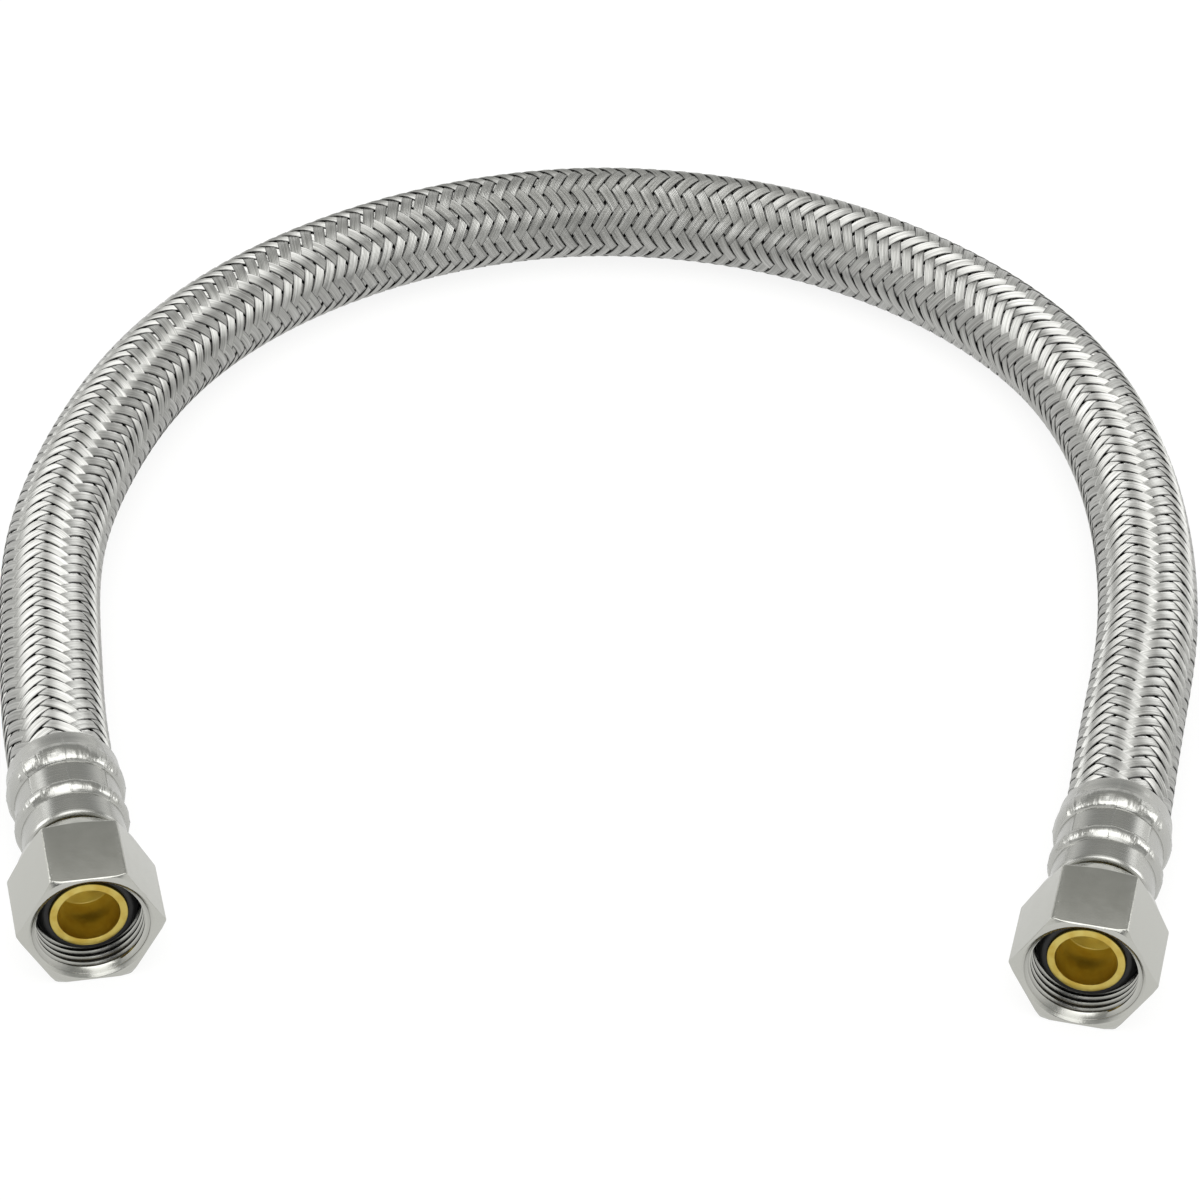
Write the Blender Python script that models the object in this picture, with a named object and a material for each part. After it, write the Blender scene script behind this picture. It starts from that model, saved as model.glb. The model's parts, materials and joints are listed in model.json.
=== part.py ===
"""Braided steel dishwasher connector, lying in a U on the surface z = 0. Each end has a loose
hex nut, a turned brass insert, a rubber gasket and a crimped ferrule. Metres, +Z up."""

import math

import bmesh
import bpy
import numpy as np
from mathutils import Matrix, Vector

for old in list(bpy.data.objects):
    bpy.data.objects.remove(old, do_unlink=True)

MM = 0.001
GAP = 0.3 * MM
TURN_STEPS = 32
HEX_STEPS = 48
HOSE_SIDES = 12

# Nut: lengths run back from its mouth, and the 9/16-24 thread is a plain bore
NUT_FLATS = 15.875 * MM
NUT_LENGTH = 12.4 * MM
MOUTH_R = 7.6 * MM
THREAD_R = 6.8 * MM
MOUTH_CHAMFER = 0.65 * MM
THREAD_LEAD = 0.2 * MM
SOCKET_DEPTH = 10.4 * MM
CORNER_R = 8.4 * MM
FLATS_END = 11.3 * MM
SHOULDER_END = FLATS_END + 0.7 * MM
SHOULDER_R = 7.6 * MM
BACK_R = 7.1 * MM
HEX_CHAMFER = math.tan(math.radians(30))

# Insert: one turned brass piece with nose, flange, neck and barbed stem. Its nose leaves room
# in the thread for the gasket round it
GASKET_WIDTH = 2.0 * MM
NOSE_START = 2.8 * MM
NOSE_R = THREAD_R - GASKET_WIDTH
NOSE_WALL = 1.0 * MM
NOSE_CHAMFER = 0.2 * MM
FLANGE_START = 8.6 * MM
FLANGE_R = THREAD_R - 1.2 * GAP
FLANGE_END = SOCKET_DEPTH - GAP
NECK_R = 4.6 * MM
BORE_R = NOSE_R - NOSE_WALL
BORE_DEPTH = 6.8 * MM
BORE_CHAMFER = 0.15 * MM
WATERWAY_R = 1.45 * MM
BARBS = 4
BARB_PITCH = 3.2 * MM
BARB_START = 1.0 * MM
BARB_HEIGHT = 0.4 * MM

# Gasket: how far it stands back from the end of the nose, and its cone
GASKET_SET_BACK = 0.4 * MM
CONE_LENGTH = 0.9 * MM
CONE_RISE = 0.75 * MM
GASKET_TAPER = 0.1 * MM

# Ferrule: a crimped shell of thin sheet. Its bands start and end at these lengths from its front
FERRULE_START = 14.6 * MM
FERRULE_LENGTH = 15.5 * MM
SHEET = 0.55 * MM
PLAIN_R = 6.5 * MM
GROOVE_R = 6.7 * MM
NARROW_BULGE_R = 7.1 * MM
WIDE_BULGE_R = 7.4 * MM
LIP_R = 7.1 * MM
LIP_WALL = 0.35 * MM
FRONT_ROUND = ((0.0, 1.0 * MM), (0.15 * MM, 0.5 * MM), (0.45 * MM, 0.15 * MM), (0.9 * MM, 0.0))
NARROW_BULGE = (3.85 * MM, 6.3 * MM)
GROOVE = (6.2 * MM, 9.8 * MM)
WIDE_BULGE_RISE = (10.5 * MM, 0.25 * MM)
WIDE_BULGE = (11.4 * MM, 12.6 * MM)
LIP_FOOT = (13.7 * MM, 0.1 * MM)
LIP_CHAMFER = (0.3 * MM, 0.2 * MM)

# Hose: outer radius of the braid, radius of the tube's bore, and walls
HOSE_R = 6.65 * MM
BRAID_WALL = 0.55 * MM
TUBE_BORE_R = 4.3 * MM
HOSE_START = FERRULE_START + SHEET + 3 * GAP
HOSE_FREE = FERRULE_START + FERRULE_LENGTH + 4 * GAP
RING_SPACING = 13.5 * MM

# Where each mouth is, and how far its axis turns away from -Y
ENDS = {"left": ((-59.3, -13.6), 13.0), "right": ((60.0, -15.6), -11.5)}

# The hose's axis from the left ferrule round to the right one, in mm
ROUTE = [
    (-68.4, 26.9, 7.75),
    (-70.4, 40.4, 7.35),
    (-72.1, 53.8, 6.95),
    (-72.7, 67.5, 6.75),
    (-71.4, 81.0, 6.68),
    (-68.6, 94.3, 6.68),
    (-64.3, 107.3, 6.68),
    (-58.1, 119.4, 6.68),
    (-49.9, 130.3, 6.68),
    (-40.0, 139.6, 6.68),
    (-28.7, 147.2, 6.68),
    (-16.3, 152.7, 6.68),
    (-3.0, 155.7, 6.68),
    (10.6, 155.6, 6.68),
    (23.9, 152.8, 6.68),
    (36.4, 147.4, 6.68),
    (47.6, 139.7, 6.68),
    (57.2, 130.0, 6.68),
    (64.7, 118.7, 6.68),
    (69.7, 106.0, 6.68),
    (72.6, 92.7, 6.68),
    (73.9, 79.2, 6.68),
    (73.9, 65.5, 6.75),
    (72.7, 52.0, 6.95),
    (70.4, 38.5, 7.35),
    (68.0, 25.1, 7.75),
]


def finish(name, colour, roughness, metallic):
    """Make a plain Principled material."""
    material = bpy.data.materials.new(name)
    material.use_nodes = True
    shader = material.node_tree.nodes["Principled BSDF"]
    shader.inputs["Base Color"].default_value = (*colour, 1.0)
    shader.inputs["Roughness"].default_value = roughness
    shader.inputs["Metallic"].default_value = metallic
    material.diffuse_color = (*colour, 1.0)
    return material


PLATED = finish("plated_brass_nut", (0.53, 0.53, 0.50), 0.25, 1.0)
BRASS = finish("turned_brass", (0.62, 0.50, 0.12), 0.3, 1.0)
RUBBER = finish("black_rubber", (0.012, 0.012, 0.013), 0.6, 0.0)
SHEET_STEEL = finish("crimped_sheet", (0.50, 0.50, 0.49), 0.35, 1.0)
WIRE = finish("braided_wire", (0.42, 0.42, 0.40), 0.35, 1.0)
TUBE = finish("inner_tube", (0.02, 0.02, 0.02), 0.7, 0.0)


def ring_body(name, rings, matrix, material):
    """Skin a closed loop of rings, which gives one body with a hole through it."""
    bm = bmesh.new()
    loops = [[bm.verts.new(point) for point in ring] for ring in rings]
    for near, far in zip(loops, loops[1:] + loops[:1]):
        for i in range(len(near)):
            bm.faces.new((near[i], near[i - 1], far[i - 1], far[i]))
    bmesh.ops.remove_doubles(bm, verts=bm.verts, dist=1e-6)
    bmesh.ops.recalc_face_normals(bm, faces=bm.faces)
    mesh = bpy.data.meshes.new(name)
    bm.to_mesh(mesh)
    bm.free()
    mesh.materials.append(material)
    body = bpy.data.objects.new(name, mesh)
    body.matrix_world = matrix
    bpy.context.scene.collection.objects.link(body)
    return body


def around(depth, radius, steps):
    """Give one ring of a fitting. radius is a number or a rule of the angle."""
    ring = []
    for i in range(steps):
        angle = 2 * math.pi * i / steps
        r = radius(angle) if callable(radius) else radius
        x = -depth(r) if callable(depth) else -depth
        ring.append((x, r * math.cos(angle), r * math.sin(angle)))
    return ring


def turned(name, profile, matrix, material):
    """Turn a closed profile of (depth, radius) pairs about the fitting's axis."""
    rings = [around(depth, radius, TURN_STEPS) for depth, radius in profile]
    return ring_body(name, rings, matrix, material)


def hexagon(angle):
    """Radius of the hexagon, which has corners level with its axis and flats below and above."""
    from_corner = (angle + math.pi / 6) % (math.pi / 3) - math.pi / 6
    return NUT_FLATS / 2 / math.cos(math.pi / 6 - abs(from_corner))


def nut(name, matrix):
    """Make a hex nut with chamfered corners, a round shoulder and a plain bore."""
    rings = [
        (0.0, MOUTH_R),
        (0.0, lambda a: min(hexagon(a), CORNER_R)),
        (lambda r: max(0.0, (r - CORNER_R) * HEX_CHAMFER), hexagon),
        (lambda r: FLATS_END - (r - NUT_FLATS / 2) * HEX_CHAMFER, hexagon),
        (SHOULDER_END, SHOULDER_R),
        (NUT_LENGTH, BACK_R),
        (NUT_LENGTH, NECK_R + GAP),
        (SOCKET_DEPTH, NECK_R + GAP),
        (SOCKET_DEPTH, THREAD_R),
        (MOUTH_CHAMFER, THREAD_R + THREAD_LEAD),
    ]
    rings = [around(depth, radius, HEX_STEPS) for depth, radius in rings]
    return ring_body(name, rings, matrix, PLATED)


def insert(name, matrix):
    """Make the insert: the nut's socket holds its flange, and the hose its stem."""
    bore_end = NOSE_START + BORE_DEPTH
    stem_start = HOSE_START - GAP
    barb_r = TUBE_BORE_R * math.cos(math.pi / HOSE_SIDES) - GAP
    valley_r = barb_r - BARB_HEIGHT
    profile = [
        (NOSE_START, NOSE_R - NOSE_CHAMFER),
        (NOSE_START + NOSE_CHAMFER, NOSE_R),
        (FLANGE_START, NOSE_R),
        (FLANGE_START, FLANGE_R),
        (FLANGE_END, FLANGE_R),
        (FLANGE_END, NECK_R),
        (stem_start, NECK_R),
        (stem_start, valley_r),
    ]
    for i in range(BARBS):
        barb = stem_start + BARB_START + i * BARB_PITCH
        profile += [(barb, valley_r), (barb, barb_r)]
    stem_end = stem_start + BARB_START + BARBS * BARB_PITCH
    profile += [(stem_end, valley_r), (stem_end, WATERWAY_R)]
    profile += [(bore_end, WATERWAY_R), (bore_end, BORE_R)]
    profile += [(NOSE_START + BORE_CHAMFER, BORE_R), (NOSE_START, BORE_R + BORE_CHAMFER)]
    return turned(name, profile, matrix, BRASS)


def gasket(name, matrix):
    """Make the cone gasket that sits on the nose, against the flange."""
    front = NOSE_START + GASKET_SET_BACK
    back = FLANGE_START - GAP
    inner = NOSE_R + GAP
    outer = FLANGE_R - GASKET_TAPER
    cone = outer - GASKET_TAPER
    profile = [
        (front, inner),
        (front, cone - CONE_RISE),
        (front + CONE_LENGTH, cone),
        (back, outer),
        (back, inner),
    ]
    return turned(name, profile, matrix, RUBBER)


def bulge(start, end, foot, top):
    """Give the (depth, radius) pairs of a rounded bulge between two crimped bands."""
    shape = ((0.0, 0.0), (0.18, 0.62), (0.42, 0.96), (0.62, 0.96), (0.84, 0.62))
    return [(start + u * (end - start), foot + v * (top - foot)) for u, v in shape]


def ferrule(name, matrix):
    """Make the crimped ferrule, whose inner side follows its outer side."""
    front, end = FERRULE_START, FERRULE_START + FERRULE_LENGTH
    outer = [(front + length, PLAIN_R - drop) for length, drop in FRONT_ROUND]
    outer += bulge(front + NARROW_BULGE[0], front + NARROW_BULGE[1], PLAIN_R, NARROW_BULGE_R)
    outer += [(front + length, GROOVE_R) for length in GROOVE]
    outer.append((front + WIDE_BULGE_RISE[0], WIDE_BULGE_R - WIDE_BULGE_RISE[1]))
    outer += [(front + length, WIDE_BULGE_R) for length in WIDE_BULGE]
    outer.append((front + LIP_FOOT[0], LIP_R + LIP_FOOT[1]))
    outer += [(end - LIP_CHAMFER[0], LIP_R), (end, LIP_R - LIP_CHAMFER[1])]
    inner = [
        (end, LIP_R - LIP_WALL + 0.1 * GAP),
        (front + LIP_FOOT[0] - SHEET / 2, LIP_R - LIP_WALL),
        (front + WIDE_BULGE[1] - SHEET / 5, WIDE_BULGE_R - SHEET),
        (front + WIDE_BULGE[0] + SHEET / 5, WIDE_BULGE_R - SHEET),
        (front + GROOVE[1] + 0.75 * SHEET, GROOVE_R - SHEET),
        (front + GROOVE[0] + SHEET / 5, GROOVE_R - SHEET),
        (front + GROOVE[0] - 1.25 * SHEET, PLAIN_R - SHEET),
        (front + SHEET, PLAIN_R - SHEET),
        (front + SHEET, NECK_R + GAP),
        (front, NECK_R + GAP),
    ]
    return turned(name, outer + inner, matrix, SHEET_STEEL)


def smooth_route(points, first_way, last_way, spacing):
    """Read evenly spaced points and ways off one smooth curve through the route's points."""
    p = np.array(points)
    t = np.concatenate([[0.0], np.cumsum(np.linalg.norm(np.diff(p, axis=0), axis=1))])
    h = np.diff(t)
    system = np.eye(len(p))
    wanted = np.zeros_like(p)
    wanted[0] = first_way
    wanted[-1] = last_way
    for i in range(1, len(p) - 1):
        system[i, i - 1 : i + 2] = h[i], 2 * (h[i - 1] + h[i]), h[i - 1]
        before = h[i] * (p[i] - p[i - 1]) / h[i - 1]
        after = h[i - 1] * (p[i + 1] - p[i]) / h[i]
        wanted[i] = 3 * (before + after)
    slope = np.linalg.solve(system, wanted)
    places = np.linspace(0.0, t[-1], round(t[-1] / spacing) + 1)
    k = np.clip(np.searchsorted(t, places, side="right") - 1, 0, len(h) - 1)
    u = ((places - t[k]) / h[k])[:, None]
    w = h[k][:, None]
    at = (1 + 2 * u) * (1 - u) ** 2 * p[k] + u * (1 - u) ** 2 * w * slope[k]
    at += u**2 * (3 - 2 * u) * p[k + 1] - u**2 * (1 - u) * w * slope[k + 1]
    way = (6 * u**2 - 6 * u) * (p[k] - p[k + 1]) / w
    way += (1 - u) * (1 - 3 * u) * slope[k] + u * (3 * u - 2) * slope[k + 1]
    return [(Vector(a), Vector(b).normalized()) for a, b in zip(at, way)]


def hose_ring(place, way, radius):
    """Give a ring of the hose, with one corner straight down."""
    side = way.cross(Vector((0, 0, 1))).normalized()
    up = side.cross(way)
    turns = [2 * math.pi * i / HOSE_SIDES for i in range(HOSE_SIDES)]
    return [place + radius * (math.cos(a) * side + math.sin(a) * up) for a in turns]


def sleeve(name, stations, material):
    """Make a hollow tube from stations of (place, way, outer radius, inner radius)."""
    outside = [hose_ring(place, way, outer) for place, way, outer, _ in stations]
    inside = [hose_ring(place, way, inner) for place, way, _, inner in stations]
    return ring_body(name, outside + inside[::-1], Matrix.Identity(4), material)


# Each end's frame has its origin at the nut's mouth and +X out of it
frames = {}
for end, ((x, y), turn) in ENDS.items():
    place = Matrix.Translation((x * MM, y * MM, NUT_FLATS / 2))
    frames[end] = place @ Matrix.Rotation(math.radians(turn - 90), 4, "Z")

for end, matrix in frames.items():
    nut(end + "_nut", matrix)
    insert(end + "_insert", matrix)
    gasket(end + "_gasket", matrix)
    ferrule(end + "_ferrule", matrix)

# Inside a ferrule the hose is squeezed by the crimp: depth, braid radius, tube radius
crimped_r = PLAIN_R - SHEET - GAP
bulged_r = WIDE_BULGE_R - SHEET - 1.2 * GAP
lip_inner_r = LIP_R - LIP_WALL - GAP
tube_free_r = HOSE_R - BRAID_WALL - GAP
squeeze = [
    (HOSE_START, crimped_r, crimped_r - BRAID_WALL - GAP),
    (FERRULE_START + GROOVE[1] - GAP, crimped_r, crimped_r - BRAID_WALL - GAP),
    (FERRULE_START + sum(WIDE_BULGE) / 2, bulged_r, bulged_r - BRAID_WALL - GAP),
    (FERRULE_START + LIP_FOOT[0], lip_inner_r, lip_inner_r - BRAID_WALL - GAP),
]


def squeezed(matrix, onward):
    """Give the hose's stations inside one ferrule: place, way, braid radius, tube radius."""
    way = matrix.to_3x3() @ Vector((-onward, 0, 0))
    return [(matrix @ Vector((-s, 0, 0)), way, b, t) for s, b, t in squeeze]


left_in = squeezed(frames["left"], 1)
right_in = squeezed(frames["right"], -1)
left_free = frames["left"] @ Vector((-HOSE_FREE, 0, 0))
right_free = frames["right"] @ Vector((-HOSE_FREE, 0, 0))
middle = [[c * MM for c in point] for point in ROUTE]
route = smooth_route(
    [list(left_free)] + middle + [list(right_free)],
    list(left_in[0][1]),
    list(right_in[0][1]),
    RING_SPACING,
)
free = [(place, way, HOSE_R, tube_free_r) for place, way in route]
stations = left_in + free + right_in[::-1]
sleeve("braid", [(p, w, b, b - BRAID_WALL) for p, w, b, _ in stations], WIRE)
sleeve("inner_tube", [(p, w, t, TUBE_BORE_R) for p, w, _, t in stations], TUBE)
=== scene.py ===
# %% [markdown]
# A dishwasher connector is a short water hose with a loose nut at each end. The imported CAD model
# fixes where every piece is. This script dresses it: a woven wire braid, threaded nuts, turned
# brass, rubber and crimped sheet. It loads the model first, because each piece rides on a CAD body.

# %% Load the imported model
import json
import math

import bmesh
import bpy
import numpy as np
from mathutils import Matrix, Vector

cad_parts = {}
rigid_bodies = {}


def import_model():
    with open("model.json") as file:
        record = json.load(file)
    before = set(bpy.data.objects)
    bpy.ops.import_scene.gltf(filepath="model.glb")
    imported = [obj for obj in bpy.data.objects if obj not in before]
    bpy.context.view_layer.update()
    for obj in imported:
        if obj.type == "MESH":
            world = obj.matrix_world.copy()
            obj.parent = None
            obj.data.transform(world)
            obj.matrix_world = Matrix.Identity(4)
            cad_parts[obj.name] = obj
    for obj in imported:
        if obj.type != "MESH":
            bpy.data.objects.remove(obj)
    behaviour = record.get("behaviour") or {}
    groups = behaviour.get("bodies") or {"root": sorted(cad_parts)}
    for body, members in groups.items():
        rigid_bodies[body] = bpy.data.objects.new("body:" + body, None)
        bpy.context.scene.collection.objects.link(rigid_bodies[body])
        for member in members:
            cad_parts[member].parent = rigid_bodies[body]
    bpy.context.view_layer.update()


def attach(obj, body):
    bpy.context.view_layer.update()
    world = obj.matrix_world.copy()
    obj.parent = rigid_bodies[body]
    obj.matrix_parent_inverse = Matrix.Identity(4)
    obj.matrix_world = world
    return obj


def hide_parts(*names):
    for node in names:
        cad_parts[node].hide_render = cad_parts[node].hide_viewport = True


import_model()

MM = 0.001
scene = bpy.context.scene

# %% [markdown]
# Colours are easiest to pick as sRGB hex values, but Blender's sockets take linear light. One
# function turns them. A second one adds a node to any tree, a material's or a Geometry Nodes tree,
# and a third gives a colour ramp its stops.

# %% Colour and node helpers
def linear(code):
    """Turn an sRGB hex colour into linear red, green, blue and alpha."""
    parts = [int(code[i : i + 2], 16) / 255 for i in (1, 3, 5)]
    return [c / 12.92 if c < 0.04045 else ((c + 0.055) / 1.055) ** 2.4 for c in parts] + [1.0]


def add(tree, kind, inputs=None, **settings):
    """Add one node. An input is a constant, or another node's output that is linked to it."""
    node = tree.nodes.new(kind)
    for name, value in settings.items():
        setattr(node, name, value)
    for key, value in (inputs or {}).items():
        if isinstance(value, bpy.types.NodeSocket):
            tree.links.new(value, node.inputs[key])
        else:
            node.inputs[key].default_value = value
    return node


def set_stops(ramp, stops):
    """Give a colour ramp its stops, each a position and an sRGB hex colour."""
    while len(ramp.elements) < len(stops):
        ramp.elements.new(0.5)
    for element, (position, code) in zip(ramp.elements, stops):
        element.position = position
        element.color = linear(code)


print("a mid grey in linear light:", [round(c, 3) for c in linear("#808080")])

# %% [markdown]
# The camera stands in front of the open end of the U and looks down on it. Its place and lens
# were worked out from the nuts' corners and the hose's outline. The lens shift centres the object.

# %% Camera
CAMERA_PLACE = (-0.00058, -0.4348, 0.37256)
CAMERA_PITCH = 52.68
CAMERA_ROLL = 2.02

camera_data = bpy.data.cameras.new("camera")
camera_data.sensor_width = 36.0
camera_data.lens = 138.53
camera_data.shift_x = 0.00902
camera_data.shift_y = 0.05003
camera = bpy.data.objects.new("camera", camera_data)
pitch = Matrix.Rotation(math.radians(CAMERA_PITCH), 4, "X")
roll = Matrix.Rotation(math.radians(CAMERA_ROLL), 4, "Z")
camera.matrix_world = Matrix.Translation(CAMERA_PLACE) @ pitch @ roll
scene.collection.objects.link(camera)
scene.camera = camera
scene.view_settings.view_transform = "Standard"
print("camera looks down by", round(90 - CAMERA_PITCH, 1), "degrees")

# %% [markdown]
# Bright metal shows whatever stands round it, so its look is mostly made by the surroundings. In
# a white tent the floor and the walls low down are white, a grey band hangs above them, and soft
# boxes light the top, the sides and the front. The tent is open at the front, where the room is
# dark. The world is painted like that by direction. The floor is white to the eye, and still takes
# the shadow.

# %% Surroundings
world = bpy.data.worlds.new("studio_tent")
scene.world = world
world.use_nodes = True
tree = world.node_tree
tree.nodes.clear()
direction = add(tree, "ShaderNodeTexCoord")
parts = add(tree, "ShaderNodeSeparateXYZ", {0: direction.outputs["Generated"]})
tent = add(tree, "ShaderNodeValToRGB", {0: parts.outputs["Z"]})
LOW_BANDS = [(0.0, "#F4F4F2"), (0.2, "#EAEAE8"), (0.42, "#A0A1A0")]
HIGH_BANDS = [(0.68, "#9E9E9A"), (0.9, "#F6F6F4")]
set_stops(tent.color_ramp, LOW_BANDS + HIGH_BANDS)
OPENING_UP = math.radians(12)
OPENING_WAY = (0.0, -math.cos(OPENING_UP), math.sin(OPENING_UP))
OPENING_INNER = math.cos(math.radians(8))
OPENING_OUTER = math.cos(math.radians(17))
to_opening = add(
    tree,
    "ShaderNodeVectorMath",
    {0: direction.outputs["Generated"], 1: OPENING_WAY},
    operation="DOT_PRODUCT",
)
is_open = add(
    tree,
    "ShaderNodeMapRange",
    {"Value": to_opening.outputs["Value"], "From Min": OPENING_OUTER, "From Max": OPENING_INNER},
    interpolation_type="SMOOTHSTEP",
)
tent_light = add(tree, "ShaderNodeBackground", {"Color": tent.outputs[0], "Strength": 1.0})
dark_room = add(tree, "ShaderNodeBackground", {"Color": linear("#4A4A4E"), "Strength": 0.9})
seen_room = add(
    tree,
    "ShaderNodeMixShader",
    {0: is_open.outputs[0], 1: tent_light.outputs[0], 2: dark_room.outputs[0]},
)
add(tree, "ShaderNodeOutputWorld", {0: seen_room.outputs[0]})

floor_mesh = bpy.data.meshes.new("floor")
FLOOR_HALF = 3.0
corners = [(-1, -1), (1, -1), (1, 1), (-1, 1)]
floor_points = [(x * FLOOR_HALF, y * FLOOR_HALF, 0.0) for x, y in corners]
floor_mesh.from_pydata(floor_points, [], [(0, 1, 2, 3)])
floor = bpy.data.objects.new("floor", floor_mesh)
scene.collection.objects.link(floor)

# The eye and mirrored rays see the paper glow, so it looks evenly white. Other rays see it matt
PAPER_GLOW = 0.88
MORE_TO_CAMERA = 0.2
paper = bpy.data.materials.new("white_paper_sweep")
paper.use_nodes = True
tree = paper.node_tree
tree.nodes.clear()
rays = add(tree, "ShaderNodeLightPath")
seen = add(
    tree, "ShaderNodeMath", {0: rays.outputs["Is Camera Ray"], 1: rays.outputs["Is Glossy Ray"]}
)
seen_too = add(
    tree,
    "ShaderNodeMath",
    {0: seen.outputs[0], 1: rays.outputs["Is Transmission Ray"]},
    use_clamp=True,
)
lit = add(tree, "ShaderNodeBsdfDiffuse", {"Color": linear("#E6E6E4")})
brightness = add(
    tree,
    "ShaderNodeMath",
    {0: rays.outputs["Is Camera Ray"], 1: MORE_TO_CAMERA, 2: PAPER_GLOW},
    operation="MULTIPLY_ADD",
)
white = add(
    tree, "ShaderNodeEmission", {"Color": linear("#FFFFFF"), "Strength": brightness.outputs[0]}
)
bright = add(tree, "ShaderNodeMixShader", {0: 0.8, 1: lit.outputs[0], 2: white.outputs[0]})
shown = add(
    tree, "ShaderNodeMixShader", {0: seen_too.outputs[0], 1: lit.outputs[0], 2: bright.outputs[0]}
)
add(tree, "ShaderNodeOutputMaterial", {0: shown.outputs[0]})
floor_mesh.materials.append(paper)

# Soft boxes: name, place, size, watts. Each faces the object
SOFT_BOXES = [
    ("box_left", (-0.7, 0.63, 0.34), 0.2, 0.14),
    ("box_right", (0.7, 0.63, 0.34), 0.2, 0.14),
    ("side_left", (-0.96, 0.25, 0.45), 0.5, 1.8),
    ("side_right", (0.96, 0.25, 0.45), 0.5, 1.7),
    ("box_top", (0.0, -0.15, 1.1), 1.3, 7.5),
    ("box_front", (0.0, -0.95, 0.72), 0.6, 1.5),
]
target = Vector((0.0, 0.06, 0.0))
for name, place, size, watts in SOFT_BOXES:
    light_data = bpy.data.lights.new(name, "AREA")
    light_data.size = size
    light_data.energy = watts
    light = bpy.data.objects.new(name, light_data)
    facing = (target - Vector(place)).to_track_quat("-Z", "Y").to_matrix().to_4x4()
    light.matrix_world = Matrix.Translation(place) @ facing
    scene.collection.objects.link(light)
print("soft boxes:", len(SOFT_BOXES))

# %% [markdown]
# The hose lies on the floor in a U, a little raised where it enters the ferrules, because the nuts
# hold those ends up. Its axis is one smooth curve through listed points, which are the same in the
# CAD model. Inside each ferrule it runs straight along the fitting.

# %% The hose's route
NUT_FLATS = 15.875 * MM
FERRULE_START = 14.6 * MM
FERRULE_LENGTH = 15.5 * MM
HOSE_START = FERRULE_START + 1.45 * MM
HOSE_FREE = FERRULE_START + FERRULE_LENGTH + 1.2 * MM
HOSE_R = 6.65 * MM
AXIS_SPACING = 1.0 * MM
STRAIGHT_STEPS = 16

# Where each mouth is, and how far its axis turns away from -Y
ENDS = {"left": ((-59.3, -13.6), 13.0), "right": ((60.0, -15.6), -11.5)}

# The hose's axis from the left ferrule round to the right one, in mm
ROUTE = [
    (-68.4, 26.9, 7.75),
    (-70.4, 40.4, 7.35),
    (-72.1, 53.8, 6.95),
    (-72.7, 67.5, 6.75),
    (-71.4, 81.0, 6.68),
    (-68.6, 94.3, 6.68),
    (-64.3, 107.3, 6.68),
    (-58.1, 119.4, 6.68),
    (-49.9, 130.3, 6.68),
    (-40.0, 139.6, 6.68),
    (-28.7, 147.2, 6.68),
    (-16.3, 152.7, 6.68),
    (-3.0, 155.7, 6.68),
    (10.6, 155.6, 6.68),
    (23.9, 152.8, 6.68),
    (36.4, 147.4, 6.68),
    (47.6, 139.7, 6.68),
    (57.2, 130.0, 6.68),
    (64.7, 118.7, 6.68),
    (69.7, 106.0, 6.68),
    (72.6, 92.7, 6.68),
    (73.9, 79.2, 6.68),
    (73.9, 65.5, 6.75),
    (72.7, 52.0, 6.95),
    (70.4, 38.5, 7.35),
    (68.0, 25.1, 7.75),
]


def smooth_route(points, first_way, last_way, spacing):
    """Read evenly spaced points off one smooth curve through the route's points."""
    p = np.array(points)
    t = np.concatenate([[0.0], np.cumsum(np.linalg.norm(np.diff(p, axis=0), axis=1))])
    h = np.diff(t)
    system = np.eye(len(p))
    wanted = np.zeros_like(p)
    wanted[0] = first_way
    wanted[-1] = last_way
    for i in range(1, len(p) - 1):
        system[i, i - 1 : i + 2] = h[i], 2 * (h[i - 1] + h[i]), h[i - 1]
        before = h[i] * (p[i] - p[i - 1]) / h[i - 1]
        after = h[i - 1] * (p[i + 1] - p[i]) / h[i]
        wanted[i] = 3 * (before + after)
    slope = np.linalg.solve(system, wanted)
    places = np.linspace(0.0, t[-1], round(t[-1] / spacing) + 1)
    k = np.clip(np.searchsorted(t, places, side="right") - 1, 0, len(h) - 1)
    u = ((places - t[k]) / h[k])[:, None]
    w = h[k][:, None]
    at = (1 + 2 * u) * (1 - u) ** 2 * p[k] + u * (1 - u) ** 2 * w * slope[k]
    at += u**2 * (3 - 2 * u) * p[k + 1] - u**2 * (1 - u) * w * slope[k + 1]
    return [Vector(point) for point in at]


# Each end's frame has its origin at the nut's mouth and +X out of it
mouths = {}
for end, ((x, y), turn) in ENDS.items():
    place = Matrix.Translation((x * MM, y * MM, NUT_FLATS / 2))
    mouths[end] = place @ Matrix.Rotation(math.radians(turn - 90), 4, "Z")

hose_ends = [Vector((-s, 0, 0)) for s in (HOSE_START, HOSE_FREE)]
left_in, left_free = [mouths["left"] @ point for point in hose_ends]
right_in, right_free = [mouths["right"] @ point for point in hose_ends]
middle = [[c * MM for c in point] for point in ROUTE]
free = smooth_route(
    [list(left_free)] + middle + [list(right_free)],
    list((left_free - left_in).normalized()),
    list((right_in - right_free).normalized()),
    AXIS_SPACING,
)
straight = [i / STRAIGHT_STEPS for i in range(STRAIGHT_STEPS)]
hose_axis = [left_in.lerp(left_free, t) for t in straight] + free
hose_axis += [right_in.lerp(right_free, t) for t in reversed(straight)]
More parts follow.
